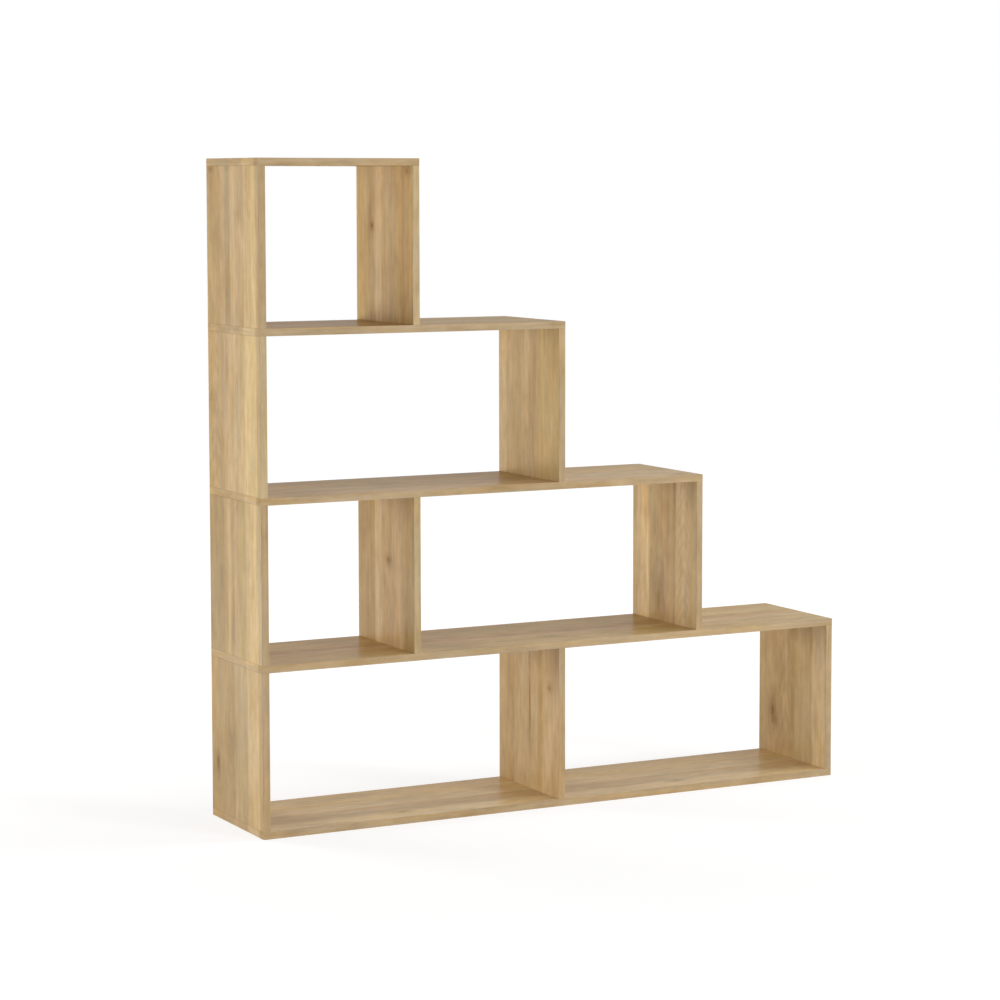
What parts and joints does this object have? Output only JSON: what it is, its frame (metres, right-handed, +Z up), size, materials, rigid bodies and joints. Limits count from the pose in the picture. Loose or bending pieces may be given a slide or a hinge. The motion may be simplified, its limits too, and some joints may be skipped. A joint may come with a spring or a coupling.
{
  "type": "staircase bookshelf",
  "caption": "Open bookshelf of oak-look boards whose tiers step down to one side, with through shelves, bays open front and back, and cam-and-dowel joints.",
  "frame": {"origin": "middle of the footprint, on the floor", "axes": "+X from the tall end to the low end, +Y from the front to the back, +Z up"},
  "size_m": [1.45, 0.29, 1.45],
  "materials": {
    "oak_melamine": "satin melamine face with a pale knotty oak print, grain along the board",
    "oak_edging": "satin edging strip in the same oak print, grain along the strip",
    "beech": "plain turned beech",
    "plated_steel": "bright zinc plate",
    "zinc": "plain die-cast zinc",
    "oak_plastic": "matte plastic coloured to match the oak print"
  },
  "bodies": {
    "root": {"bottom_panel": "oak_melamine", "bottom_panel_cam_bolts": "plated_steel", "bottom_panel_dowels": "beech", "bottom_panel_edging": "oak_edging", "first_shelf": "oak_melamine", "first_shelf_cam_bolts": "plated_steel", "first_shelf_double_bolts": "plated_steel", "first_shelf_dowels": "beech", "first_shelf_edging": "oak_edging", "first_shelf_long_dowels": "beech", "second_shelf": "oak_melamine", "second_shelf_cam_bolts": "plated_steel", "second_shelf_double_bolts": "plated_steel", "second_shelf_dowels": "beech", "second_shelf_edging": "oak_edging", "second_shelf_long_dowels": "beech", "third_shelf": "oak_melamine", "third_shelf_cam_bolts": "plated_steel", "third_shelf_double_bolts": "plated_steel", "third_shelf_dowels": "beech", "third_shelf_edging": "oak_edging", "third_shelf_long_dowels": "beech", "tier_1_cam_caps": "oak_plastic", "tier_1_cams": "zinc", "tier_1_divider": "oak_melamine", "tier_1_divider_edging": "oak_edging", "tier_1_left_side": "oak_melamine", "tier_1_left_side_edging": "oak_edging", "tier_1_right_side": "oak_melamine", "tier_1_right_side_edging": "oak_edging", "tier_2_cam_caps": "oak_plastic", "tier_2_cams": "zinc", "tier_2_divider": "oak_melamine", "tier_2_divider_edging": "oak_edging", "tier_2_left_side": "oak_melamine", "tier_2_left_side_edging": "oak_edging", "tier_2_right_side": "oak_melamine", "tier_2_right_side_edging": "oak_edging", "tier_3_cam_caps": "oak_plastic", "tier_3_cams": "zinc", "tier_3_left_side": "oak_melamine", "tier_3_left_side_edging": "oak_edging", "tier_3_right_side": "oak_melamine", "tier_3_right_side_edging": "oak_edging", "tier_4_cam_caps": "oak_plastic", "tier_4_cams": "zinc", "tier_4_left_side": "oak_melamine", "tier_4_left_side_edging": "oak_edging", "tier_4_right_side": "oak_melamine", "tier_4_right_side_edging": "oak_edging", "top_panel": "oak_melamine", "top_panel_cam_bolts": "plated_steel", "top_panel_dowels": "beech", "top_panel_edging": "oak_edging"}
  },
  "joints": []
}
